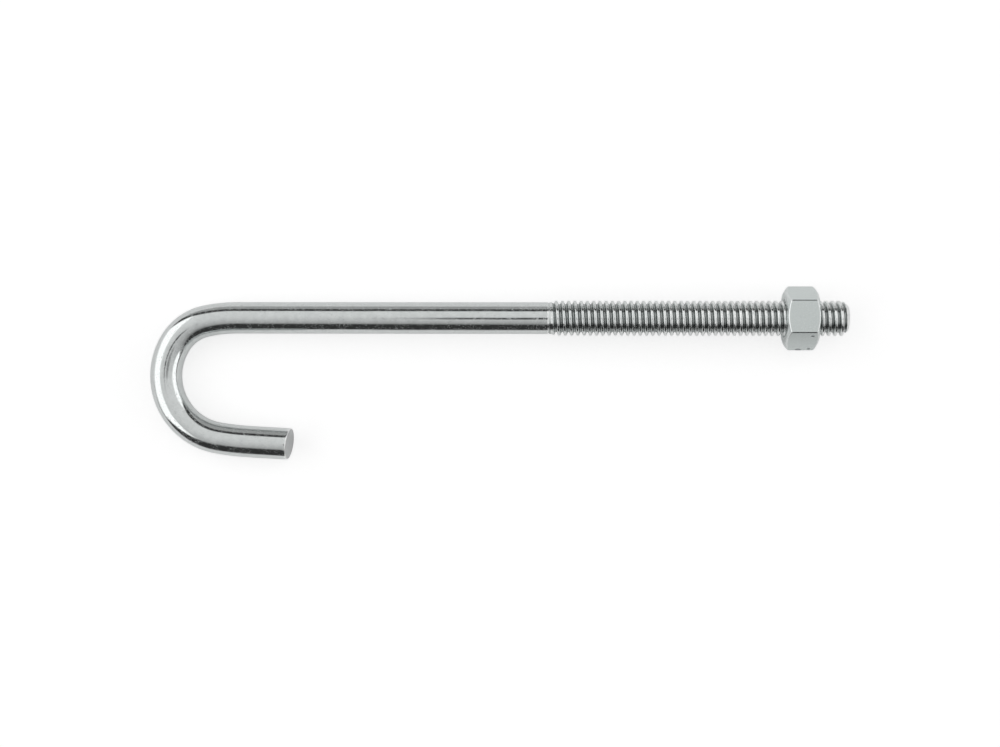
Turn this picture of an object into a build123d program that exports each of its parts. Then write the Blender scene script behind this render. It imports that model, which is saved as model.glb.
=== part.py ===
from build123d import *
import os
from math import asin, atan2, cos, hypot, radians, sin, tan

# A J-bolt: a round steel rod bent into a hook at one end and roll-threaded at the other, with a hex nut
# near the tip. It lies on its side: the hook is flat on the ground and one edge of the nut touches down.
# All lengths are in millimetres, all angles in degrees.

# The rod
thread_major = 7.94         # over the crests of the rolled thread, five sixteenths of an inch
shank_diameter = 7.2        # the plain blank, a little over the thread's pitch diameter
tip_to_crook = 154.6        # from the tip's face to the centre line at the far side of the hook
thread_length = 67.5        # from the tip's face to the first mark of the rolls
thread_runout = 1.9         # the crests rise out of the blank over a turn and a third
tip_chamfer = 1.2           # the bevel on the tip, at 45 degrees

# The hook, bent in strokes that run into each other
easing_radius = 33.5        # the rod first leaves its line gently
easing_turn = 12.4
shoulder_radius = 10.75     # then it goes round the tight shoulder
shoulder_turn = 45.3
crook_radius = 14.4         # and round the wide crook
crook_turn = 112.8
release_radius = 65.0       # it comes out of the bend gently, a few degrees short of straight back
release_turn = 6.3
leg_length = 9.2            # the straight leg, up to the middle of its cut face
cut_skew = 4.0              # the shears left the leg's inner side longer than square by this angle
cut_lift = 6.0              # and turned the cut face up by this one
cut_edge_radius = 0.25      # the shears rounded the edge of the cut

# The nut
nut_across_flats = 12.55    # half an inch, less the usual allowance
nut_thickness = 7.35
nut_corner_radius = 0.25    # the six corners of the hexagon
nut_face_diameter = 10.2    # the round bearing face that the chamfer leaves on each side
nut_chamfer_angle = 20.0    # between the chamfer and the bearing face
nut_countersink = 0.35      # the bevel at each mouth of the bore
nut_from_tip = 6.95         # from the tip's face to the nut's outer face
nut_turn = 2.0              # the nut stopped this far round from lying square to the hook
thread_clearance = 0.05     # radial gap between the thread's crests and the nut's bore

shank_radius = shank_diameter / 2
thread_radius = thread_major / 2
nut_face_radius = nut_face_diameter / 2

# Places along the rod's axis, which runs from zero where the hook begins towards the tip
eased = radians(easing_turn)
shouldered = eased + radians(shoulder_turn)
crooked = shouldered + radians(crook_turn)
turned = crooked + radians(release_turn)
crook_reach = (
    easing_radius * sin(eased)
    + shoulder_radius * (sin(shouldered) - sin(eased))
    + crook_radius * (1 - sin(shouldered))
)
tip_at = tip_to_crook - crook_reach
thread_from = tip_at - thread_length
nut_outer_at = tip_at - nut_from_tip
nut_inner_at = nut_outer_at - nut_thickness

# How far the hook drops below the rod's axis, to the low side of the leg's end
crook_drop = (
    easing_radius * (1 - cos(eased))
    + shoulder_radius * (cos(eased) - cos(shouldered))
    + crook_radius * (cos(shouldered) - cos(crooked))
    + release_radius * (cos(crooked) - cos(turned))
)
leg_slope = turned - radians(180)
leg_drop = crook_drop - leg_length * sin(leg_slope)
cut_drop = shank_radius * cos(leg_slope) + shank_radius * tan(radians(cut_skew)) * sin(leg_slope)

# The rounded corners of the hexagon are arcs about centres on this circle
corner_circle = (nut_across_flats / 2 - nut_corner_radius) / cos(radians(30))
corner_reach = corner_circle + nut_corner_radius
corner_rise = (corner_reach - nut_face_radius) * tan(radians(nut_chamfer_angle))

# At rest the tip end rides up until the nut's low corner and the hook both touch the ground
nut_low = corner_circle * cos(radians(30 - nut_turn)) + nut_corner_radius
foot_span = nut_inner_at + corner_rise + crook_reach
rest_pitch = atan2(nut_low, foot_span) - asin(shank_radius / hypot(nut_low, foot_span))
axis_height = shank_radius + crook_reach * sin(rest_pitch)

# The origin is under the middle of the whole bolt as it lies, and the tip points along +X
left_end = -crook_reach * cos(rest_pitch) - shank_radius
right_end = tip_at * cos(rest_pitch) + (thread_radius - tip_chamfer) * sin(rest_pitch)
upper_side = corner_circle * cos(radians(nut_turn)) + nut_corner_radius
lower_side = -leg_drop - cut_drop
lying = Plane(
    origin=(-(left_end + right_end) / 2, -(upper_side + lower_side) / 2, axis_height),
    x_dir=(cos(rest_pitch), 0, sin(rest_pitch)),
    z_dir=(-sin(rest_pitch), 0, cos(rest_pitch)),
)


def across(distance):
    """The plane square to the rod's axis, so far along it from where the hook begins."""
    return Plane(origin=lying.from_local_coords((distance, 0, 0)), x_dir=lying.y_dir, z_dir=lying.x_dir)


def lengthwise():
    """The plane through the rod's axis that stands upright on the hook's own plane."""
    return Plane(origin=lying.origin, x_dir=lying.x_dir, z_dir=-lying.y_dir)


rod_axis = Axis(lying.origin, lying.x_dir)

with BuildPart() as hooked_rod:
    # The hook, one round section carried along tangent arcs and the straight leg
    with BuildLine(lying) as centre_line:
        easing = JernArc((0, 0), (-1, 0), easing_radius, easing_turn)
        shoulder = JernArc(easing @ 1, easing % 1, shoulder_radius, shoulder_turn)
        crook = JernArc(shoulder @ 1, shoulder % 1, crook_radius, crook_turn)
        release = JernArc(crook @ 1, crook % 1, release_radius, release_turn)
        leg = Line(release @ 1, (release @ 1) + (release % 1) * (leg_length + shank_diameter))
    with BuildSketch(across(0)):
        Circle(shank_radius)
    sweep(path=centre_line.line)

    # The shears' cut across the leg, a little out of square, with a rounded edge
    leg_end = Plane(
        origin=(release @ 1) + (release % 1) * leg_length,
        x_dir=lying.z_dir,
        z_dir=release % 1,
    )
    skewed = leg_end.y_dir * tan(radians(cut_skew))
    lifted = leg_end.x_dir * tan(radians(cut_lift))
    sheared = Plane(origin=leg_end.origin, z_dir=leg_end.z_dir + skewed + lifted)
    split(bisect_by=sheared, keep=Keep.BOTTOM)
    cut_face = hooked_rod.faces().sort_by_distance(leg_end.origin)[0]
    fillet(cut_face.edges(), radius=cut_edge_radius)

    # The plain shank, as far as the first mark of the rolls
    with BuildSketch(across(0)):
        Circle(shank_radius)
    extrude(amount=thread_from)

    # The threaded end, over its crests: the run-out, the full thread and the bevelled tip
    with BuildSketch(lengthwise()):
        with BuildLine():
            Polyline(
                (thread_from, 0),
                (thread_from, shank_radius),
                (thread_from + thread_runout, thread_radius),
                (tip_at - tip_chamfer, thread_radius),
                (tip_at, thread_radius - tip_chamfer),
                (tip_at, 0),
                close=True,
            )
        make_face()
    revolve(axis=rod_axis)

with BuildPart() as hex_nut:
    # The hexagon, with its flats towards the ground and the sky but for the nut's small turn
    with BuildSketch(across(nut_inner_at)):
        hexagon = RegularPolygon(
            radius=nut_across_flats / 2,
            side_count=6,
            major_radius=False,
            rotation=-nut_turn,
        )
        fillet(hexagon.vertices(), radius=nut_corner_radius)
    extrude(amount=nut_thickness)

    # The chamfers turn each face down to a round one, as a lathe would
    cone_radius = corner_reach + nut_corner_radius
    cone_rise = (cone_radius - nut_face_radius) * tan(radians(nut_chamfer_angle))
    with BuildSketch(lengthwise()):
        with BuildLine():
            Polyline(
                (nut_inner_at, 0),
                (nut_inner_at, nut_face_radius),
                (nut_inner_at + cone_rise, cone_radius),
                (nut_outer_at - cone_rise, cone_radius),
                (nut_outer_at, nut_face_radius),
                (nut_outer_at, 0),
                close=True,
            )
        make_face()
    revolve(axis=rod_axis, mode=Mode.INTERSECT)

    # The bore runs clear of the thread's crests, with a bevel at each mouth
    with Locations(across(nut_outer_at)):
        Hole(radius=thread_radius + thread_clearance)
    mouths = hex_nut.faces().filter_by(GeomType.PLANE).sort_by(rod_axis)
    mouth_edges = ShapeList(
        edge
        for face in (mouths[0], mouths[-1])
        for edge in face.inner_wires().edges()
    )
    chamfer(mouth_edges, length=nut_countersink)

hooked_rod.part.label = "hooked_rod"
hex_nut.part.label = "hex_nut"

os.makedirs("parts", exist_ok=True)
export_step(hooked_rod.part, "parts/hooked_rod.step")
export_step(hex_nut.part, "parts/hex_nut.step")
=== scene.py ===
from math import atan2, cos, pi, radians, sin, tan

import bmesh
import bpy
import numpy as np
from mathutils import Matrix


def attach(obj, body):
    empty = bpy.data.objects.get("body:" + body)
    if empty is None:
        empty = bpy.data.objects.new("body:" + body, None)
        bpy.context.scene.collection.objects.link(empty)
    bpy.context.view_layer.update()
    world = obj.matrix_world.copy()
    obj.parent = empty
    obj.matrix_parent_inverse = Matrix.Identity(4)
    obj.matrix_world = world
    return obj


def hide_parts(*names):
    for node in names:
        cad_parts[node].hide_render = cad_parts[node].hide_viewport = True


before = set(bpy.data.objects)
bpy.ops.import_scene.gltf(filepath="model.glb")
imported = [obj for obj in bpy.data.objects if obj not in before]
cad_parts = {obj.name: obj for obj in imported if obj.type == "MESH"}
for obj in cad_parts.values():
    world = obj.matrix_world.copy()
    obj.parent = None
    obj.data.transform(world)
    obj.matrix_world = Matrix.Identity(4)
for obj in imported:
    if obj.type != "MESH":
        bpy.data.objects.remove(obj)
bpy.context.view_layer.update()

MM = 0.001
TURN = 2 * pi
UP_TURN = 0.25              # straight up is this part of a turn round the rod from straight across
TINY = 1e-9                 # keeps a division safe

# Where the rod lies: the point where the hook begins, and the pitch that lifts the tip
HOOK_BEGINS = np.array([-59.315420, 12.557375, 3.920571])
REST_PITCH = radians(1.133861204)

# The rod
THREAD_RADIUS = 3.97
SHANK_RADIUS = 3.6
TIP_AT = 138.399977
THREAD_FROM = 70.899977
TIP_CHAMFER = 1.2
TIP_RADIUS = THREAD_RADIUS - TIP_CHAMFER
COLUMNS = 64                # faces round the rod
SHANK_ROWS = 48

# The bends, from the shank to the leg: radius and turn in degrees
BENDS = [(33.5, 12.4), (10.75, 45.3), (14.4, 112.8), (65.0, 6.3)]
BEND_STEP = 0.42            # rows along the bends are about this far apart
STRAIN_SPREAD = 8           # the metal strains over this many rows before and after each arc

# The leg and the shears' cut across it
LEG_LENGTH = 9.2
LEG_SHARES = [0.06, 0.14, 0.25, 0.4, 0.55, 0.7, 0.85]   # its rows, as shares of the way to the bend
CUT_NORMAL = np.array([0.986706, -0.124650, 0.104277])
CUT_EDGE = 0.25             # the radius that the edge of the cut is rounded to
CUT_RINGS = [0.0, 0.6, 1.3, 2.0, 2.6, 3.05, SHANK_RADIUS - CUT_EDGE]    # radii of the rings on the cut face
CUT_FACE_WEAR = 0.2
CUT_EDGE_STEPS = [15, 30, 45, 60, 75, 90]               # degrees round the edge

# The thread
THREAD_PITCH = 25.4 / 18
THREAD_DEPTH = 0.80
CREST_HALF = 0.19           # half the crest's width, in pitches
ROOT_HALF = 0.085
CREST_PHASE = 1.16          # where along the rod a crest faces straight up, set from the photograph
CREST_CROWN = 0.13          # how far a crest's shoulders lie below its middle, in thread depths
FLANK_EASED = 0.20          # the share of a flank's fall that is eased into the root
RISE_FROM = 0.5             # the crests begin to rise from the blank this far into the thread
RISE_LENGTH = 1.4
SINK_FROM = 0.55            # and the roots begin to sink here
SINK_LENGTH = 1.3
GROOVE_AT = 0.21            # the groove that the edge of the rolls leaves
GROOVE_REACH = 0.17
GROOVE_DEPTH = 0.15
# the groove's painted shade: how much darker root colour it takes, and how much of a crest's wear it loses
GROOVE_SHADE = 0.8
LIP_REACH = 0.12            # the lip before the groove, painted brighter as a highlight
THREAD_STOPS = 0.2          # the thread's rows stop this far short of the tip's face
SPARE_TURNS = 2             # rows are tried this many turns beyond each end, and kept where they reach it
# Half a pitch of the thread's rows, in pitches from the middle of a crest
HALF_STATIONS = np.array([0.0, 0.04, 0.08, 0.12, 0.155, 0.18, 0.20, 0.235, 0.28, 0.33, 0.375, 0.415, 0.45])
# The first crests are less burnished than those that the nut and handling reach
FIRST_CREST_WEAR = 0.35
WEAR_STARTS = 0.8           # over this length from the thread's start
WEAR_GROWS = 50.0           # and to the full over this one
# the thread roots' painted shade grows in over this length from the thread's start
ROOT_SHADE_GROWS = 0.3
# The tip's face: the radius of each ring on it, and the wear there
TIP_RINGS = [(TIP_RADIUS, 1.0), (TIP_RADIUS - 0.1, 0.6), (TIP_RADIUS * 0.66, 0.1), (TIP_RADIUS * 0.33, 0.0),
             (0.0, 0.0)]

# The nut
NUT_INNER_AT = 124.099977
NUT_OUTER_AT = 131.449977
NUT_FLATS_RADIUS = 6.275
NUT_CORNER_RADIUS = 0.25
NUT_CORNER_CIRCLE = (NUT_FLATS_RADIUS - NUT_CORNER_RADIUS) / cos(radians(30))
NUT_FLAT_HALF = atan2(NUT_CORNER_CIRCLE * sin(radians(30)), NUT_FLATS_RADIUS)    # half the angle a flat takes
NUT_FACE_RADIUS = 5.9
NUT_CHAMFER = radians(30.4)
NUT_COUNTERSINK = 0.35
NUT_TURN = radians(2.0)
NUT_MINOR_RADIUS = 3.32
NUT_THREAD_GAP = 0.06
NUT_EDGE_EASE = 0.22        # the edges between chamfer and flat are rounded this far to each side
NUT_FACE_EASE = 0.12        # and the face's edge
NUT_MOUTH_EASE = 0.05       # and the mouth of the bore
NUT_MOUTH_AIM = 0.3         # the mouth's rounding heads for the bore at this depth
EASE_SHARE = 0.45           # a rounding takes at most this share of a side
EASE_CLEAR = 0.03           # the rows between two roundings keep this far clear of them
CLEAR_SHARE = 0.47          # by at most this share of the stretch
CORNER_SHADE_FROM = NUT_FLATS_RADIUS / cos(radians(28.9))    # the long corners are painted dark, as shade, beyond this reach
CORNER_SHADE_OVER = 0.02
FLAT_COLUMNS = 13
FLAT_HOLD = radians(0.35)   # the flat's outer columns keep this far from the corner's
CORNER_COLUMNS = 9
BORE_ROWS = 96
BORE_STARTS = 0.05          # the bore's rows start this far inside each face

# Knocks on the nut's front flat and its low edge: a place on the rod's axes and a reach each way
NUT_KNOCKS = [((129.7, -4.1, 5.45), (0.55, 0.35, 0.55)), ((127.2, -6.95, 0.6), (0.9, 0.35, 0.55)),
              ((129.5, -6.75, 0.9), (0.5, 0.35, 0.5))]

# Zinc as linear red, green and blue; where there are two colours, a mottle runs between them
ROD_ZINC = ((0.60, 0.625, 0.62), (0.76, 0.785, 0.78))
# the darker grey painted into the thread's roots and groove as shade, and faintly inside the tightest bend
ROD_ROOT_SHADE = (0.39, 0.41, 0.405)
ROD_PIT = (0.30, 0.32, 0.32)
# bright colour on worn crests and edges, also painted on the thread's first lip as a highlight
ROD_WEAR_AND_HIGHLIGHT = (0.97, 0.975, 0.97)
END_ZINC = ((0.42, 0.43, 0.43), (0.60, 0.61, 0.61))
END_WORN = (0.80, 0.81, 0.81)
NUT_ZINC = ((0.635, 0.68, 0.67), (0.685, 0.73, 0.72))
NUT_MARRED = (0.33, 0.345, 0.36)
NUT_WORN = (0.84, 0.85, 0.85)
# the near-black shade painted along the six long corners
NUT_CORNER_SHADE = (0.10, 0.105, 0.11)

# Depths of the relief in the plating, in metres
ROD_MARKS_DEPTH = 0.0000028
ROD_DIPS_DEPTH = 0.000014
END_DEPTH = 0.00003
NUT_GRAIN_DEPTH = 0.0000015
NUT_DIPS_DEPTH = 0.00001

# Points closer than this are one point, and edges shorter than the second are dropped; both in metres
MERGE_REACH = 1.5e-6
SLIVER = 1e-7

# The floor, in metres from the middle of the bolt
FLOOR_REACH = 2.5
SHEET_FRONT = (-0.055, -0.004)      # the mirrored white sheet fades out towards the front between these
SHEET_FRONT_AT_HOOK = (-0.045, -0.025, 0.032)   # near the hook it reaches this last length further
SHEET_TIP_END = (0.42, 0.20)        # and it thins to a quarter far off at the tip's end
FLOOR_GREY = (0.43, 0.43, 0.43)     # the floor's paper as the camera sees it
FLOOR_GLOW = 0.70                   # and what it adds of its own
SHEET_WHITE = (0.92, 0.92, 0.92)    # the paper in the metal's reflections
SHEET_BLACK = (0.03, 0.03, 0.03)
SHEET_GLOW = 0.10

# The studio's ceiling from front to back: degrees from the zenith, and how bright it is there
CEILING = [(-100, 0.06), (-58, 0.10), (-50, 0.30), (-36, 0.50), (-14, 0.68), (4, 0.80), (45, 0.88), (56, 0.80),
           (70, 0.42), (88, 0.40), (100, 0.50)]
CEILING_SPAN = 100.0

# Windows in the studio, in degrees from the zenith: where each begins and ends, and how soft each edge is. A
# pair of windows is endwise and then sideways. Endwise counts up towards the tip, sideways towards the back.
FRONT_GAP = (-37.0, -47.0)
FRONT_GAP_AT_TIP = (-22.0, 8.0, 13.0)   # towards the tip the front gap begins this last angle further out
BACK_GAP = (47.5, 65.5, 1.5, 2.5)
HOOK_SCREEN = ((-78.0, -33.0, 6.0, 2.5), (-39.0, 50.0, 2.0, 3.0))
TIP_SCREEN = ((57.0, 100.0, 2.0, 4.0), (-39.0, 48.0, 2.0, 4.0))
TIP_SCREEN_SLANT = (18.0, 46.0, -14.0)  # towards the back its near edge comes in by this last angle
LENS = ((-5.6, 2.0, 0.9, 0.9), (-13.0, 0.5, 1.5, 1.5))
ARM_AT = (18.0, -7.0)                   # the camera's arm is a round shade beside the lens
ARM_REACH = (12.0, 5.0)
ARM_SHARE = 0.7
HORIZON = (84.5, 87.0)                  # a dark strip lies along the horizon at the tip's end
HORIZON_ENDWISE = (20.0, 40.0)
FRONT_GAP_LEVEL = 0.042
BACK_GAP_LEVEL = 0.045
SCREEN_LEVEL = 1.5
HORIZON_LEVEL = 0.10
LENS_LEVEL = 0.06
ARM_LEVEL = 0.12

# The photograph's camera, over the rod and nearly square to it
FOCAL_LENGTH = 54.0
SENSOR_WIDTH = 36.0
CAMERA_AT = (70.59, -12.56, 340.17)
CAMERA_SPIN = radians(0.12)
CAMERA_LEAN = radians(1.77)


# Shapes

def placed(points):
    """Turns rod points (u, v, w) in millimetres into frame metres: origin + u along + v across + w up."""
    along = np.array([cos(REST_PITCH), 0.0, sin(REST_PITCH)])
    up = np.array([-sin(REST_PITCH), 0.0, cos(REST_PITCH)])
    across = np.array([0.0, 1.0, 0.0])
    points = np.asarray(points, float)
    out = HOOK_BEGINS + points[..., 0:1] * along + points[..., 1:2] * across + points[..., 2:3] * up
    return out * MM


def smooth(t):
    """The easing 3t^2 - 2t^3, held at 0 before t = 0 and at 1 after t = 1."""
    t = np.clip(t, 0.0, 1.0)
    return t * t * (3.0 - 2.0 * t)


def grid_faces(rows, columns):
    """Quads between neighbouring rows and columns of a grid of points stored row by row."""
    i, j = np.meshgrid(np.arange(rows - 1), np.arange(columns - 1), indexing="ij")
    a = (i * columns + j).ravel()
    return np.stack([a, a + 1, a + columns + 1, a + columns], axis=1)


def make_piece(name, points, faces, layers, sharp, face_materials=None):
    """A mesh object from points, quads and named point layers. Doubled points are merged, which closes its seams,
    and edges that turn by more than the sharp angle in degrees stay sharp."""
    mesh = bpy.data.meshes.new(name)
    mesh.from_pydata(points.tolist(), [], faces.tolist())
    for layer_name, values in layers.items():
        kind, field = ("FLOAT_VECTOR", "vector") if values.ndim == 2 else ("FLOAT", "value")
        data = mesh.attributes.new(layer_name, kind, "POINT").data
        data.foreach_set(field, values.astype(np.float32).ravel())
    if face_materials is not None:
        mesh.polygons.foreach_set("material_index", face_materials.astype(np.int32))
    work = bmesh.new()
    work.from_mesh(mesh)
    bmesh.ops.remove_doubles(work, verts=work.verts, dist=MERGE_REACH)
    bmesh.ops.dissolve_degenerate(work, edges=work.edges, dist=SLIVER)
    work.to_mesh(mesh)
    work.free()
    mesh.polygons.foreach_set("use_smooth", np.ones(len(mesh.polygons), bool))
    mesh.set_sharp_from_angle(angle=radians(sharp))
    mesh.update()
    piece = bpy.data.objects.new(name, mesh)
    bpy.context.scene.collection.objects.link(piece)
    return piece


def thread_profile(u, angle):
    """Radius of the rolled thread at u and angle, and how near to a crest it is: a wave of crests and roots, one
    pitch a turn, between an upper line that rises from the blank and a lower line that sinks from it. A crest is
    an arc of small height, the flank is straight and eased into the root, and a shallow groove marks the rolls'
    edge. The groove also lowers the second value, so that the groove takes painted shade and loses wear."""
    phase = (u - CREST_PHASE) / THREAD_PITCH - angle / TURN + UP_TURN
    q = np.abs((phase + 0.5) % 1.0 - 0.5)
    ramp = np.clip((q - CREST_HALF) / (0.5 - CREST_HALF - ROOT_HALF), 0.0, 1.0)
    wave = (1.0 - FLANK_EASED) * ramp + FLANK_EASED * smooth(ramp)
    crown = CREST_CROWN * np.clip(q / CREST_HALF, 0.0, 1.0) ** 4
    from_start = u - THREAD_FROM
    crest = SHANK_RADIUS + (THREAD_RADIUS - SHANK_RADIUS) * smooth((from_start - RISE_FROM) / RISE_LENGTH)
    root_radius = THREAD_RADIUS - THREAD_DEPTH
    root = SHANK_RADIUS + (root_radius - SHANK_RADIUS) * smooth((from_start - SINK_FROM) / SINK_LENGTH)
    groove = np.exp(-((from_start - GROOVE_AT) / GROOVE_REACH) ** 2)
    radius = crest - (crest - root) * (wave + crown * (1.0 - ramp)) - GROOVE_DEPTH * groove
    return radius, np.clip(1.0 - ramp - GROOVE_SHADE * groove, 0.0, 1.0)


def tip_cone(u):
    """Radius of the bevelled tip at u: a 45 degree cone that meets the tip's face."""
    return TIP_RADIUS + (TIP_AT - u)


def bent_path():
    """Rows along the hook, from where the leg joins the bends to where the shank does: centre points, turns,
    unbent lengths and curvatures. On an arc the centre turns evenly about a point square to the heading, one
    radius off. The curvature is spread over the rows before and after each arc."""
    centre = [np.array([0.0, 0.0])]
    turn = [0.0]
    length = [0.0]
    curvature = [0.0]
    heading = 0.0
    done = 0.0
    for radius, degrees_turned in BENDS:
        total = radians(degrees_turned)
        steps = max(4, int(round(radius * total / BEND_STEP)))
        part = np.linspace(0.0, total, steps + 1)[1:]
        at = heading + part
        # for a heading (-cos T, -sin T) the arc's centre lies towards (sin T, -cos T)
        x = centre[-1][0] + radius * (sin(heading) - np.sin(at))
        y = centre[-1][1] + radius * (np.cos(at) - cos(heading))
        centre += [np.array([a, b]) for a, b in zip(x, y)]
        turn += at.tolist()
        length += (done - radius * part).tolist()
        curvature += [1.0 / radius] * steps
        done -= radius * total
        heading += total
    kernel = np.hanning(2 * STRAIN_SPREAD + 1)
    padded = np.pad(np.array(curvature)[::-1], STRAIN_SPREAD, mode="edge")
    spread = np.convolve(padded, kernel / kernel.sum(), mode="valid")
    return np.array(centre)[::-1], np.array(turn)[::-1], np.array(length)[::-1], spread


def rod_piece():
    """The rod as one skin: a circle carried along the hook and shank, then the helical thread on rows that
    follow the helix, then the tip's face. The cut end closes it at the other end."""
    angle = np.linspace(0.0, TURN, COLUMNS + 1)
    points = []
    straight = []
    edge = []
    strain_and_root_shade = []

    def add(row, straight_row, row_edge, row_strain_and_shade):
        """Takes a row of points, its place on the unbent rod, its wear, with the lip's painted highlight, and its
        strain, with the roots' painted shade.
        """
        points.append(row)
        straight.append(straight_row)
        edge.append(np.broadcast_to(row_edge, angle.shape))
        strain_and_root_shade.append(np.broadcast_to(row_strain_and_shade, angle.shape))

    def ring(centre, turn, radius):
        """A circle round the centre line: radius (cos a across + sin a up), turned with the bend."""
        across = np.array([-sin(turn), cos(turn), 0.0])
        circle = np.cos(angle)[:, None] * across + np.sin(angle)[:, None] * np.array([0.0, 0.0, 1.0])
        return np.array([centre[0], centre[1], 0.0]) + np.asarray(radius)[..., None] * circle

    def straight_ring(u, radius):
        """A circle round the unbent rod at u."""
        return ring((u, 0.0), 0.0, radius)

    centre, turn, length, curvature = bent_path()
    leg_turn = turn[0]
    along = np.array([cos(leg_turn), sin(leg_turn), 0.0])
    leg_end = np.array([centre[0][0], centre[0][1], 0.0]) - LEG_LENGTH * along
    end_length = length[0] - LEG_LENGTH

    def cut_ring(radius, back):
        """A ring round the leg, slid along it to the cutting plane and then back by a distance."""
        flat = ring(leg_end[:2], leg_turn, radius)
        slide = ((leg_end - flat) @ CUT_NORMAL) / (-along @ CUT_NORMAL)
        return flat - (slide - back)[:, None] * along

    # the cut face, its rounded edge and the leg
    for radius in CUT_RINGS:
        add(cut_ring(radius, 0.0), straight_ring(end_length, radius), CUT_FACE_WEAR, 0.0)
    for step in CUT_EDGE_STEPS:
        radius = SHANK_RADIUS - CUT_EDGE * (1.0 - sin(radians(step)))
        row = cut_ring(radius, CUT_EDGE * (1.0 - cos(radians(step))))
        add(row, straight_ring(end_length, radius), 0.5 if step == CUT_EDGE_STEPS[-1] else 1.0, 0.0)
    start = cut_ring(SHANK_RADIUS, CUT_EDGE)
    finish = ring(centre[0], leg_turn, SHANK_RADIUS)
    for share in LEG_SHARES:
        u = end_length + (length[0] - end_length) * share
        add(start + (finish - start) * share, straight_ring(u, SHANK_RADIUS), 0.0, 0.0)

    # the bends, then the shank up to the thread's first edge
    for c, t, s, k in zip(centre, turn, length, curvature):
        add(ring(c, t, SHANK_RADIUS), straight_ring(s, SHANK_RADIUS), 0.0, k * SHANK_RADIUS * np.cos(angle))
    for u in np.linspace(0.0, THREAD_FROM - LIP_REACH, SHANK_ROWS)[1:]:
        row = straight_ring(u, SHANK_RADIUS)
        add(row, row, 0.0, 0.0)
    # the shank's last ring, at the lip, is painted bright as a highlight
    row = straight_ring(THREAD_FROM, SHANK_RADIUS)
    add(row, row, 1.0, 0.0)

    # the thread, on rows that climb one pitch a turn and are held between its two ends, with a ring at each end
    first = THREAD_FROM
    last = TIP_AT - THREAD_STOPS
    stations = np.concatenate([HALF_STATIONS, [0.5], 1.0 - HALF_STATIONS[:0:-1]])
    # the thread's first ring is painted bright too, as the lip's highlight
    row = straight_ring(first, thread_profile(np.full(angle.shape, first), angle)[0])
    add(row, row, 1.0, 0.0)
    turns_before = int(np.floor((first - CREST_PHASE) / THREAD_PITCH)) - SPARE_TURNS
    turns_after = int(np.ceil((last - CREST_PHASE) / THREAD_PITCH)) + SPARE_TURNS
    for whole in range(turns_before, turns_after):
        for station in stations:
            u = CREST_PHASE + (whole + station + angle / TURN - UP_TURN) * THREAD_PITCH
            if u.max() < first or u.min() > last:
                continue
            u = np.clip(u, first, last)
            radius, height = thread_profile(u, angle)
            radius = np.minimum(radius, tip_cone(u))
            row = np.stack([u, radius * np.cos(angle), radius * np.sin(angle)], axis=1)
            from_start = u - THREAD_FROM
            # a painted highlight on the lip at the thread's start, and beyond it the crests' wear; the roots take
            # painted shade through the last layer
            lip_highlight = np.exp(-(from_start / LIP_REACH) ** 2)
            handled = FIRST_CREST_WEAR + (1.0 - FIRST_CREST_WEAR) * smooth(from_start / WEAR_GROWS)
            worn = lip_highlight + (1.0 - lip_highlight) * height * smooth(from_start / WEAR_STARTS) * handled
            add(row, row, worn, -(1.0 - height) * smooth(from_start / ROOT_SHADE_GROWS))
    # the last ring: wear on its crests and painted shade in its roots
    radius, height = thread_profile(np.full(angle.shape, last), angle)
    row = straight_ring(last, np.minimum(radius, tip_cone(last)))
    add(row, row, height, height - 1.0)

    # the tip's face
    thread_rows = len(points) - 1
    for radius, worn in TIP_RINGS:
        row = straight_ring(TIP_AT, radius)
        add(row, row, worn, 0.0)

    rows = len(points)
    row_of_face = np.repeat(np.arange(rows - 1), COLUMNS)
    ends = (row_of_face < len(CUT_RINGS) - 1) | (row_of_face > thread_rows)
    layers = {
        "straightened": np.array(straight).reshape(-1, 3) * MM,
        "edge": np.array(edge).ravel(),
        "strain_and_root_shade": np.array(strain_and_root_shade).ravel(),
    }
    grid = placed(np.array(points)).reshape(-1, 3)
    return make_piece("zinc_hooked_rod", grid, grid_faces(rows, COLUMNS + 1), layers, 38.0, ends.astype(int))


def rounded_hexagon(angle):
    """Distance from the axis to a hexagon's outline with rounded corners, in the direction of each angle.
    Near a corner it is the far crossing of the ray with the corner's circle, and elsewhere the flat."""
    off_flat = (angle + pi / 6) % (pi / 3) - pi / 6
    off_corner = pi / 6 - np.abs(off_flat)
    flat = NUT_FLATS_RADIUS / np.cos(off_flat)
    within = NUT_CORNER_RADIUS ** 2 - (NUT_CORNER_CIRCLE * np.sin(off_corner)) ** 2
    corner = NUT_CORNER_CIRCLE * np.cos(off_corner) + np.sqrt(np.maximum(within, 0.0))
    return np.where(np.abs(off_flat) <= NUT_FLAT_HALF, flat, corner)


def nut_angles():
    """Angles round the nut, dense over the six rounded corners and even over the flats, measured from a flat."""
    held = np.linspace(FLAT_HOLD - NUT_FLAT_HALF, NUT_FLAT_HALF - FLAT_HOLD, FLAT_COLUMNS)
    corner = np.linspace(NUT_FLAT_HALF, radians(60) - NUT_FLAT_HALF, CORNER_COLUMNS)[1:-1]
    sector = np.concatenate([[-NUT_FLAT_HALF], held, [NUT_FLAT_HALF], corner])
    whole = np.concatenate([sector + k * pi / 3 for k in range(6)])
    return np.append(whole, whole[0] + TURN)


def eased_corner(before, corner, after, reach, steps):
    """A quadratic curve that rounds the corner of a profile, starting and ending at a reach from it."""
    def towards(other):
        """The point that lies a reach from the corner on the way to another."""
        gap = other - corner
        size = np.maximum(np.linalg.norm(gap, axis=-1, keepdims=True), TINY)
        return corner + gap * np.minimum(reach / size, EASE_SHARE)
    t = np.linspace(0.0, 1.0, steps)[:, None, None]
    return (1 - t) ** 2 * towards(before) + 2 * t * (1 - t) * corner + t ** 2 * towards(after)


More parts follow.
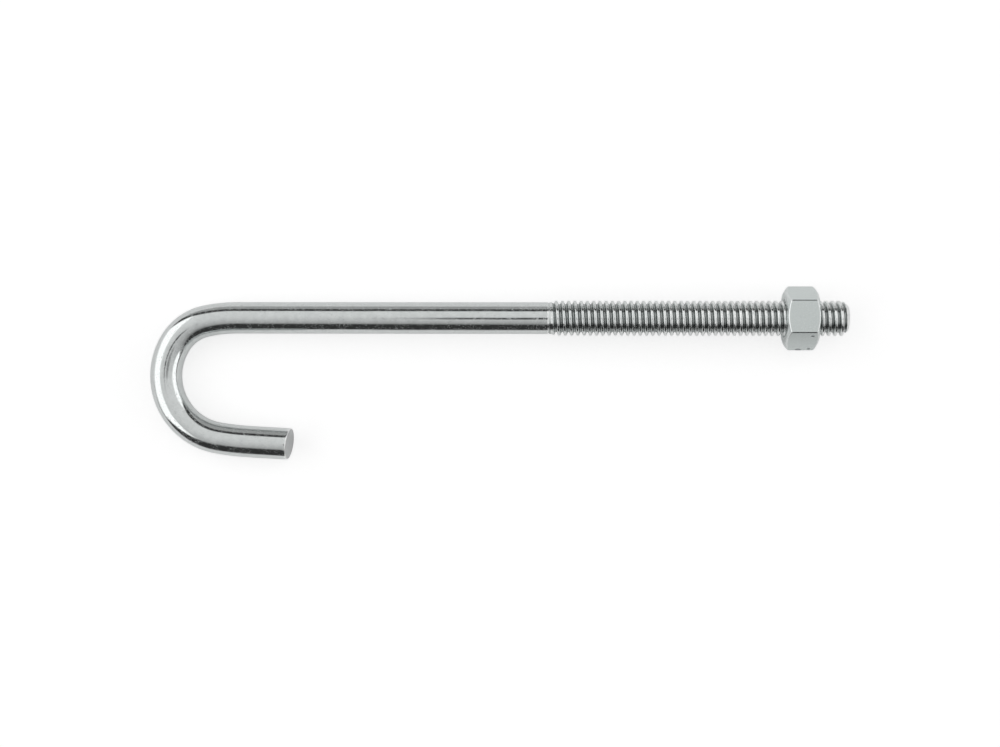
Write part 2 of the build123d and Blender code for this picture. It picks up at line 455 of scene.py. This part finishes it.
def between(a, b, parts, ease_a, ease_b):
    """Rows from a to b that start and end just clear of the roundings there, so that the flat shades flat."""
    size = np.maximum(np.linalg.norm(b - a, axis=-1, keepdims=True), TINY)
    start = np.minimum((ease_a + EASE_CLEAR) / size, CLEAR_SHARE)
    finish = 1.0 - np.minimum((ease_b + EASE_CLEAR) / size, CLEAR_SHARE)
    t = start + (finish - start) * np.linspace(0.0, 1.0, parts)[:, None, None]
    return a + (b - a) * t


def nut_piece():
    """The nut as one closed skin: for each angle a loop goes from the inner countersink over the bearing face, the
    chamfer, the flat, the far chamfer and face, and back through the bore along the nut's own thread."""
    lay = nut_angles()
    angle = lay + pi / 6 - NUT_TURN
    reach = rounded_hexagon(lay)
    rise = (reach - NUT_FACE_RADIUS) * tan(NUT_CHAMFER)
    bore = THREAD_RADIUS + NUT_THREAD_GAP
    mouth = bore + NUT_COUNTERSINK
    # painted shade: a dark line along each long corner, on the flat's rows that reach into the corner
    long_corner_shade = smooth((reach - CORNER_SHADE_FROM) / CORNER_SHADE_OVER)
    rows = []
    edge = []
    corner_shade = []

    def pair(u, r):
        """The profile's point (u, r) for every angle, where either may differ from angle to angle."""
        return np.stack(np.broadcast_arrays(u, r), axis=-1) + np.zeros((len(lay), 2))

    def take(block, row_edge, row_corner_shade=0.0):
        """Takes rows of the loop, with their wear and their painted corner shade."""
        for row in block:
            rows.append(row)
            edge.append(np.broadcast_to(row_edge, lay.shape))
            corner_shade.append(np.broadcast_to(row_corner_shade, lay.shape))

    # the outside, from the bore round to the bore again
    outline = [
        pair(NUT_INNER_AT + NUT_MOUTH_AIM, bore),
        pair(NUT_INNER_AT, mouth),
        pair(NUT_INNER_AT, NUT_FACE_RADIUS),
        pair(NUT_INNER_AT + rise, reach),
        pair(NUT_OUTER_AT - rise, reach),
        pair(NUT_OUTER_AT, NUT_FACE_RADIUS),
        pair(NUT_OUTER_AT, mouth),
        pair(NUT_OUTER_AT - NUT_MOUTH_AIM, bore),
    ]
    # its six corners: how far each is rounded, in how many rows, and how worn it is
    half = [(NUT_MOUTH_EASE, 4, 0.8), (NUT_FACE_EASE, 5, 0.7), (NUT_EDGE_EASE, 7, 0.8)]
    roundings = half + half[::-1]
    # the stretches between them, from face to face: rows, wear and painted corner shade
    stretches = [(4, 0.0, 0.0), (3, 0.15, 0.0), (9, 0.0, long_corner_shade), (3, 0.15, 0.0), (4, 0.0, 0.0)]
    for k, (ease, steps, worn) in enumerate(roundings):
        take(eased_corner(outline[k], outline[k + 1], outline[k + 2], ease, steps), worn)
        if k < len(stretches):
            parts, worn, corner_shaded = stretches[k]
            take(between(outline[k + 1], outline[k + 2], parts, ease, roundings[k + 1][0]), worn, corner_shaded)

    # the bore, back from the outer face to the inner: the rod's own wave, wider by the gap and cut at the
    # minor radius
    for u in np.linspace(NUT_OUTER_AT - BORE_STARTS, NUT_INNER_AT + BORE_STARTS, BORE_ROWS):
        wave, height = thread_profile(np.full(lay.shape, u), angle)
        radius = np.maximum(wave + NUT_THREAD_GAP, NUT_MINOR_RADIUS)
        radius = np.maximum(radius, mouth - min(NUT_OUTER_AT - u, u - NUT_INNER_AT))
        take([pair(u, radius)], 1.0 - height)
    take(rows[:1], edge[0])

    loop = np.array(rows)
    points = np.stack([loop[..., 0], loop[..., 1] * np.cos(angle), loop[..., 1] * np.sin(angle)], axis=-1)
    layers = {"edge": np.array(edge).ravel(), "corner_shade": np.array(corner_shade).ravel()}
    return make_piece("zinc_hex_nut", placed(points).reshape(-1, 3), grid_faces(len(loop), len(lay)), layers, 50.0)


# Finishes

def feed(tree, value, target):
    """Links a socket to an input, or sets the input to a constant."""
    if isinstance(value, bpy.types.NodeSocket):
        tree.links.new(value, target)
    else:
        target.default_value = value


def calc(tree, operation, a, b=None, clamp=False):
    """A math node on one or two inputs, each a socket or a number."""
    node = tree.nodes.new("ShaderNodeMath")
    node.operation = operation
    node.use_clamp = clamp
    feed(tree, a, node.inputs[0])
    if b is not None:
        feed(tree, b, node.inputs[1])
    return node.outputs[0]


def weighted(tree, start, *terms):
    """A number plus each term, which is a socket and its weight."""
    total = start
    for value, weight in terms:
        total = calc(tree, "ADD", calc(tree, "MULTIPLY", value, weight), total)
    return total


def distance(tree, a, b):
    """The length of the vector (a, b)."""
    return calc(tree, "SQRT", calc(tree, "ADD", calc(tree, "MULTIPLY", a, a), calc(tree, "MULTIPLY", b, b)))


def mapped(tree, interpolation, value, low, high, out_low, out_high):
    """A map of value from the range low..high to out_low..out_high, held outside it."""
    node = tree.nodes.new("ShaderNodeMapRange")
    node.interpolation_type = interpolation
    tree.links.new(value, node.inputs["Value"])
    for name, number in (("From Min", low), ("From Max", high), ("To Min", out_low), ("To Max", out_high)):
        node.inputs[name].default_value = number
    return node.outputs["Result"]


def ramped(tree, value, low, high, out_low=0.0, out_high=1.0):
    """A smooth map from the range low..high to out_low..out_high."""
    return mapped(tree, "SMOOTHSTEP", value, low, high, out_low, out_high)


def ramped_linear(tree, value, low, high, out_low=0.0, out_high=1.0):
    """A straight map from the range low..high to out_low..out_high."""
    return mapped(tree, "LINEAR", value, low, high, out_low, out_high)


def noise(tree, vector, scale, detail=2.0, rough=0.5):
    """A noise texture's value at a scale given per metre, a socket or a number."""
    node = tree.nodes.new("ShaderNodeTexNoise")
    node.inputs["Detail"].default_value = detail
    node.inputs["Roughness"].default_value = rough
    tree.links.new(vector, node.inputs["Vector"])
    feed(tree, scale, node.inputs["Scale"])
    return node.outputs["Fac"]


def stretched(tree, vector, scale, shift=(0.0, 0.0, 0.0)):
    """The vector times a scale for each axis, plus a shift."""
    node = tree.nodes.new("ShaderNodeMapping")
    node.inputs["Scale"].default_value = scale
    node.inputs["Location"].default_value = shift
    tree.links.new(vector, node.inputs["Vector"])
    return node.outputs["Vector"]


def new_group(name, numbers, outputs):
    """An empty shader group that takes a vector and some numbers and gives masks, with its two end nodes."""
    group = bpy.data.node_groups.new(name, "ShaderNodeTree")
    group.interface.new_socket(name="Vector", in_out="INPUT", socket_type="NodeSocketVector")
    for label, start in numbers.items():
        made = group.interface.new_socket(name=label, in_out="INPUT", socket_type="NodeSocketFloat")
        made.default_value = start
    for label in outputs:
        group.interface.new_socket(name=label, in_out="OUTPUT", socket_type="NodeSocketFloat")
    return group, group.nodes.new("NodeGroupInput").outputs, group.nodes.new("NodeGroupOutput").inputs


def pits_group():
    """Small pits and blisters in plating: the low tail of a fine noise, thinned by a broad one."""
    group, given, result = new_group("plating pits", {"Scale": 4000.0, "Cover": 0.4}, ["Pits", "Mottle"])
    fine = noise(group, given["Vector"], given["Scale"], 2.0, 0.6)
    broad = noise(group, given["Vector"], calc(group, "MULTIPLY", given["Scale"], 0.12))
    low = ramped(group, fine, 0.42, 0.30)
    thin = ramped(group, calc(group, "ADD", broad, given["Cover"]), 0.75, 1.05)
    group.links.new(calc(group, "MULTIPLY", low, thin), result["Pits"])
    group.links.new(broad, result["Mottle"])
    return group


def draw_group():
    """Draw marks: noise pulled out along the rod, a fine set and a coarse set."""
    group, given, result = new_group("draw marks", {}, ["Marks", "Streaks"])
    fine = noise(group, stretched(group, given["Vector"], (90.0, 3600.0, 3600.0)), 1.0, 3.0, 0.6)
    coarse = noise(group, stretched(group, given["Vector"], (40.0, 900.0, 900.0)), 1.0)
    group.links.new(fine, result["Marks"])
    group.links.new(coarse, result["Streaks"])
    return group


def wear_group():
    """Wear along edges: the piece's edge layer, broken up by noise so that it comes and goes."""
    group, given, result = new_group("edge wear", {"Edge": 0.0, "Amount": 0.5}, ["Wear"])
    patch = noise(group, given["Vector"], 900.0, 3.0, 0.6)
    broken = ramped(group, patch, 0.30, 0.62, 0.25, 1.0)
    worn = calc(group, "MULTIPLY", given["Edge"], broken)
    group.links.new(calc(group, "MULTIPLY", worn, given["Amount"], clamp=True), result["Wear"])
    return group


def nicks_group():
    """Handling nicks: the middles of a few scattered cells, longer one way than the other."""
    group, given, result = new_group("handling nicks", {"Chance": 0.2}, ["Nicks"])
    cells = group.nodes.new("ShaderNodeTexVoronoi")
    cells.inputs["Scale"].default_value = 1.0
    group.links.new(stretched(group, given["Vector"], (260.0, 520.0, 520.0)), cells.inputs["Vector"])
    chosen = group.nodes.new("ShaderNodeSeparateColor")
    group.links.new(cells.outputs["Color"], chosen.inputs[0])
    spot = ramped(group, cells.outputs["Distance"], 0.20, 0.08)
    picked = calc(group, "LESS_THAN", chosen.outputs[0], given["Chance"])
    group.links.new(calc(group, "MULTIPLY", spot, picked), result["Nicks"])
    return group


def knocks(tree, vector):
    """The nut's knocks as one mask: 1 in the middle of each, fading out at its reach."""
    total = 0.0
    for place, reach in NUT_KNOCKS:
        scale = [1.0 / (r * MM) for r in reach]
        shift = [-float(m) * s for m, s in zip(placed([place])[0], scale)]
        length = tree.nodes.new("ShaderNodeVectorMath")
        length.operation = "LENGTH"
        tree.links.new(stretched(tree, vector, scale, shift), length.inputs[0])
        total = calc(tree, "ADD", ramped(tree, length.outputs["Value"], 1.0, 0.35), total)
    return total


def placed_group(tree, group, **inputs):
    """A copy of a shader group in a material, with its inputs set or linked."""
    node = tree.nodes.new("ShaderNodeGroup")
    node.node_tree = group
    for name, value in inputs.items():
        feed(tree, value, node.inputs[name])
    return node.outputs


def layer(tree, name, output="Fac"):
    """A point layer of the piece, read by name."""
    node = tree.nodes.new("ShaderNodeAttribute")
    node.attribute_name = name
    return node.outputs[output]


def mixed(tree, amount, a, b):
    """A colour mixed between two, each a socket or three numbers."""
    node = tree.nodes.new("ShaderNodeMix")
    node.data_type = "RGBA"
    tree.links.new(amount, node.inputs["Factor"])
    for slot, value in (("A", a), ("B", b)):
        target = [s for s in node.inputs if s.name == slot and s.type == "RGBA"][0]
        feed(tree, (*value, 1.0) if isinstance(value, tuple) else value, target)
    return [s for s in node.outputs if s.type == "RGBA"][0]


def bumped(tree, height, depth, normal=None):
    """A bump node on a height, with its depth in metres, over another normal if there is one."""
    node = tree.nodes.new("ShaderNodeBump")
    node.inputs["Strength"].default_value = 1.0
    node.inputs["Distance"].default_value = depth
    tree.links.new(height, node.inputs["Height"])
    if normal is not None:
        tree.links.new(normal, node.inputs["Normal"])
    return node.outputs["Normal"]


def new_material(name, metallic=1.0):
    """A material with its node tree and its Principled shader's inputs."""
    made = bpy.data.materials.new(name)
    made.use_nodes = True
    inputs = made.node_tree.nodes["Principled BSDF"].inputs
    inputs["Metallic"].default_value = metallic
    return made, made.node_tree, inputs


def rod_zinc(groups):
    """Bright zinc on the drawn rod: a clear grey mirror with draw marks, small pits, worn crests, a painted
    highlight on the thread's first lip, and thread roots painted darker as shade, with rougher zinc there.
    """
    made, tree, shader = new_material("bright_zinc_on_rod")
    straight = layer(tree, "straightened", "Vector")
    pits = placed_group(tree, groups["pits"], Vector=straight, Scale=4600.0, Cover=0.47)
    draw = placed_group(tree, groups["draw"], Vector=straight)
    wear = placed_group(tree, groups["wear"], Vector=straight, Edge=layer(tree, "edge"), Amount=0.7)
    nicks = placed_group(tree, groups["nicks"], Vector=straight, Chance=0.10)
    # painted shade: the roots, the groove and, faintly, the inside of the tightest bend are darkened and roughened
    # from the negative part of this layer
    root = ramped(tree, layer(tree, "strain_and_root_shade"), -0.2, -0.95)
    plain_zinc = mixed(tree, pits["Mottle"], *ROD_ZINC)
    root_shaded = mixed(tree, root, plain_zinc, ROD_ROOT_SHADE)
    pitted = mixed(tree, calc(tree, "MULTIPLY", pits["Pits"], 0.5), root_shaded, ROD_PIT)
    # the wear mask brightens worn crests and edges, and paints the lip's highlight
    tree.links.new(mixed(tree, wear["Wear"], pitted, ROD_WEAR_AND_HIGHLIGHT), shader["Base Color"])
    rough = weighted(tree, 0.045, (draw["Streaks"], 0.10), (pits["Pits"], 0.25), (root, 0.16))
    tree.links.new(rough, shader["Roughness"])
    fine = bumped(tree, draw["Marks"], ROD_MARKS_DEPTH)
    dips = weighted(tree, 0.0, (pits["Pits"], -1.0), (nicks["Nicks"], -1.0))
    tree.links.new(bumped(tree, dips, ROD_DIPS_DEPTH, fine), shader["Normal"])
    return made


def end_zinc(groups):
    """Zinc over the sheared end and the tip's face: greyer, rougher, with the shears' and the die's marks."""
    made, tree, shader = new_material("zinc_on_cut_ends")
    straight = layer(tree, "straightened", "Vector")
    pits = placed_group(tree, groups["pits"], Vector=straight, Scale=3800.0, Cover=0.5)
    wear = placed_group(tree, groups["wear"], Vector=straight, Edge=layer(tree, "edge"), Amount=0.8)
    torn = noise(tree, stretched(tree, straight, (400.0, 500.0, 2600.0)), 1.0, 3.0, 0.6)
    tone = mixed(tree, torn, *END_ZINC)
    tree.links.new(mixed(tree, wear["Wear"], tone, END_WORN), shader["Base Color"])
    tree.links.new(weighted(tree, 0.22, (torn, 0.25)), shader["Roughness"])
    height = calc(tree, "SUBTRACT", torn, pits["Pits"])
    tree.links.new(bumped(tree, height, END_DEPTH), shader["Normal"])
    return made


def nut_zinc(groups):
    """Satin zinc on the nut: even grey, soft gloss, a fine grain, knocks, edges burnished brighter, and a dark
    line of painted shade along each long corner.
    """
    made, tree, shader = new_material("satin_zinc_on_nut")
    where = tree.nodes.new("ShaderNodeTexCoord").outputs["Object"]
    pits = placed_group(tree, groups["pits"], Vector=where, Scale=4200.0, Cover=0.34)
    wear = placed_group(tree, groups["wear"], Vector=where, Edge=layer(tree, "edge"), Amount=0.75)
    knocked = knocks(tree, where)
    plain_zinc = mixed(tree, pits["Mottle"], *NUT_ZINC)
    marred = weighted(tree, 0.0, (pits["Pits"], 0.35), (knocked, 0.55))
    pitted = mixed(tree, marred, plain_zinc, NUT_MARRED)
    worn = mixed(tree, wear["Wear"], pitted, NUT_WORN)
    # painted shade: the long corners are mixed towards near black
    tree.links.new(mixed(tree, layer(tree, "corner_shade"), worn, NUT_CORNER_SHADE), shader["Base Color"])
    grain = noise(tree, where, 9000.0, 2.0, 0.6)
    tree.links.new(weighted(tree, 0.20, (grain, 0.12), (wear["Wear"], -0.12)), shader["Roughness"])
    fine = bumped(tree, grain, NUT_GRAIN_DEPTH)
    dips = weighted(tree, 0.0, (pits["Pits"], -1.0), (knocked, -8.0))
    tree.links.new(bumped(tree, dips, NUT_DIPS_DEPTH, fine), shader["Normal"])
    return made


# The studio

def pale_floor():
    """A wide plain floor, which takes the bolt's soft shadow. It shows white to the camera, and to the metal it is
    a white sheet that ends a little way in front of the bolt and thins far off at the tip's end."""
    mesh = bpy.data.meshes.new("floor")
    corners = [(-1, -1), (1, -1), (1, 1), (-1, 1)]
    mesh.from_pydata([(x * FLOOR_REACH, y * FLOOR_REACH, 0.0) for x, y in corners], [], [(0, 1, 2, 3)])
    floor = bpy.data.objects.new("floor", mesh)
    bpy.context.scene.collection.objects.link(floor)
    made, tree, shader = new_material("pale_floor", metallic=0.0)
    shader["Roughness"].default_value = 1.0
    shader["Specular IOR Level"].default_value = 0.0
    shader["Emission Color"].default_value = (1.0, 1.0, 1.0, 1.0)
    split = tree.nodes.new("ShaderNodeSeparateXYZ")
    tree.links.new(tree.nodes.new("ShaderNodeTexCoord").outputs["Object"], split.inputs[0])
    lengthwise, crosswise, _ = split.outputs
    low, high, further = SHEET_FRONT_AT_HOOK
    drawn_out = calc(tree, "ADD", crosswise, ramped(tree, lengthwise, low, high, further, 0.0))
    in_front = ramped(tree, drawn_out, *SHEET_FRONT, 0.05, 1.0)
    sheet = calc(tree, "MULTIPLY", in_front, ramped(tree, lengthwise, *SHEET_TIP_END, 0.25, 1.0))
    path = tree.nodes.new("ShaderNodeLightPath").outputs
    mirrored = path["Is Glossy Ray"]
    glow = weighted(tree, 0.0, (calc(tree, "MULTIPLY", mirrored, sheet), SHEET_GLOW),
                    (path["Is Camera Ray"], FLOOR_GLOW))
    tree.links.new(glow, shader["Emission Strength"])
    paper = mixed(tree, sheet, SHEET_BLACK, SHEET_WHITE)
    tree.links.new(mixed(tree, mirrored, FLOOR_GREY, paper), shader["Base Color"])
    mesh.materials.append(made)


def studio_world():
    """Soft studio light by direction, as a tent gives it: a pale ceiling that darkens towards the front, a bright
    screen at each end, dark gaps at the back and the front, and the dark camera over the middle. A direction is
    told by two angles from the zenith, its zenith angle times the cosine and the sine of its bearing."""
    world = bpy.data.worlds.new("studio")
    bpy.context.scene.world = world
    world.use_nodes = True
    tree = world.node_tree
    split = tree.nodes.new("ShaderNodeSeparateXYZ")
    tree.links.new(tree.nodes.new("ShaderNodeTexCoord").outputs["Generated"], split.inputs[0])
    x, y, z = split.outputs
    flat = distance(tree, x, y)
    zenith = calc(tree, "MULTIPLY", calc(tree, "ARCTAN2", flat, z), 180.0 / pi)
    ratio = calc(tree, "DIVIDE", zenith, calc(tree, "MAXIMUM", flat, 0.0001))
    endwise = calc(tree, "MULTIPLY", x, ratio)
    sideways = calc(tree, "MULTIPLY", y, ratio)

    def window(value, low, high, soft_low, soft_high):
        """1 between low and high, with soft edges."""
        rise = ramped(tree, value, low - soft_low, low + soft_low)
        fall = ramped(tree, value, high + soft_high, high - soft_high)
        return calc(tree, "MULTIPLY", rise, fall)

    def opening(lengths, widths):
        """A window in both directions."""
        return calc(tree, "MULTIPLY", window(endwise, *lengths), window(sideways, *widths))

    def patch(under, mask, level):
        """Lays a grey level over what is under it, where the mask is 1."""
        return mixed(tree, mask, under, (level, level, level))

    # the ceiling, from the front to the back
    ramp = tree.nodes.new("ShaderNodeValToRGB")
    tree.links.new(ramped_linear(tree, sideways, -CEILING_SPAN, CEILING_SPAN), ramp.inputs["Fac"])
    elements = ramp.color_ramp.elements
    while len(elements) < len(CEILING):
        elements.new(0.5)
    for element, (degrees_over, level) in zip(elements, CEILING):
        element.position = (degrees_over + CEILING_SPAN) / (2.0 * CEILING_SPAN)
        element.color = (level, level, level, 1.0)
    grey = ramp.outputs["Color"]

    # the two gaps
    low, high, further = FRONT_GAP_AT_TIP
    front = calc(tree, "ADD", sideways, ramped(tree, endwise, low, high, 0.0, further))
    grey = patch(grey, ramped(tree, front, *FRONT_GAP), FRONT_GAP_LEVEL)
    grey = patch(grey, window(sideways, *BACK_GAP), BACK_GAP_LEVEL)

    # the screens at both ends, and the dark strip below the tip's
    grey = patch(grey, opening(*HOOK_SCREEN), SCREEN_LEVEL)
    low, high, inward = TIP_SCREEN_SLANT
    slanted = calc(tree, "SUBTRACT", endwise, ramped_linear(tree, sideways, low, high, 0.0, inward))
    lengths, widths = TIP_SCREEN
    screen = calc(tree, "MULTIPLY", window(slanted, *lengths), window(sideways, *widths))
    grey = patch(grey, screen, SCREEN_LEVEL)
    strip = calc(tree, "MULTIPLY", ramped(tree, zenith, *HORIZON), ramped(tree, endwise, *HORIZON_ENDWISE))
    grey = patch(grey, strip, HORIZON_LEVEL)

    # the camera and its arm
    grey = patch(grey, opening(*LENS), LENS_LEVEL)
    away = distance(tree, calc(tree, "SUBTRACT", endwise, ARM_AT[0]), calc(tree, "SUBTRACT", sideways, ARM_AT[1]))
    grey = patch(grey, calc(tree, "MULTIPLY", ramped(tree, away, *ARM_REACH), ARM_SHARE), ARM_LEVEL)

    # the camera itself sees white
    camera_ray = tree.nodes.new("ShaderNodeLightPath").outputs["Is Camera Ray"]
    background = tree.nodes["Background"].inputs
    tree.links.new(mixed(tree, camera_ray, grey, (1.0, 1.0, 1.0)), background["Color"])
    background["Strength"].default_value = 1.0


def overhead_camera():
    """The photograph's view, from about 340 mm above the rod."""
    data = bpy.data.cameras.new("camera")
    data.lens = FOCAL_LENGTH
    data.sensor_fit = "HORIZONTAL"
    data.sensor_width = SENSOR_WIDTH
    data.clip_start = 0.01
    camera = bpy.data.objects.new("camera", data)
    bpy.context.scene.collection.objects.link(camera)
    level = Matrix.Rotation(-REST_PITCH, 4, "Y")
    lean = Matrix.Rotation(CAMERA_SPIN, 4, "Z") @ Matrix.Rotation(CAMERA_LEAN, 4, "Y")
    camera.matrix_world = Matrix.Translation(placed([CAMERA_AT])[0].tolist()) @ level @ lean
    bpy.context.scene.camera = camera


groups = {"pits": pits_group(), "draw": draw_group(), "wear": wear_group(), "nicks": nicks_group()}
overhead_camera()
pale_floor()
studio_world()

rod = rod_piece()
rod.data.materials.append(rod_zinc(groups))
rod.data.materials.append(end_zinc(groups))
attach(rod, "rod")
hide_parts("hooked_rod")

nut = nut_piece()
nut.data.materials.append(nut_zinc(groups))
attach(nut, "nut")
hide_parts("hex_nut")

bpy.context.scene.view_settings.view_transform = "Standard"
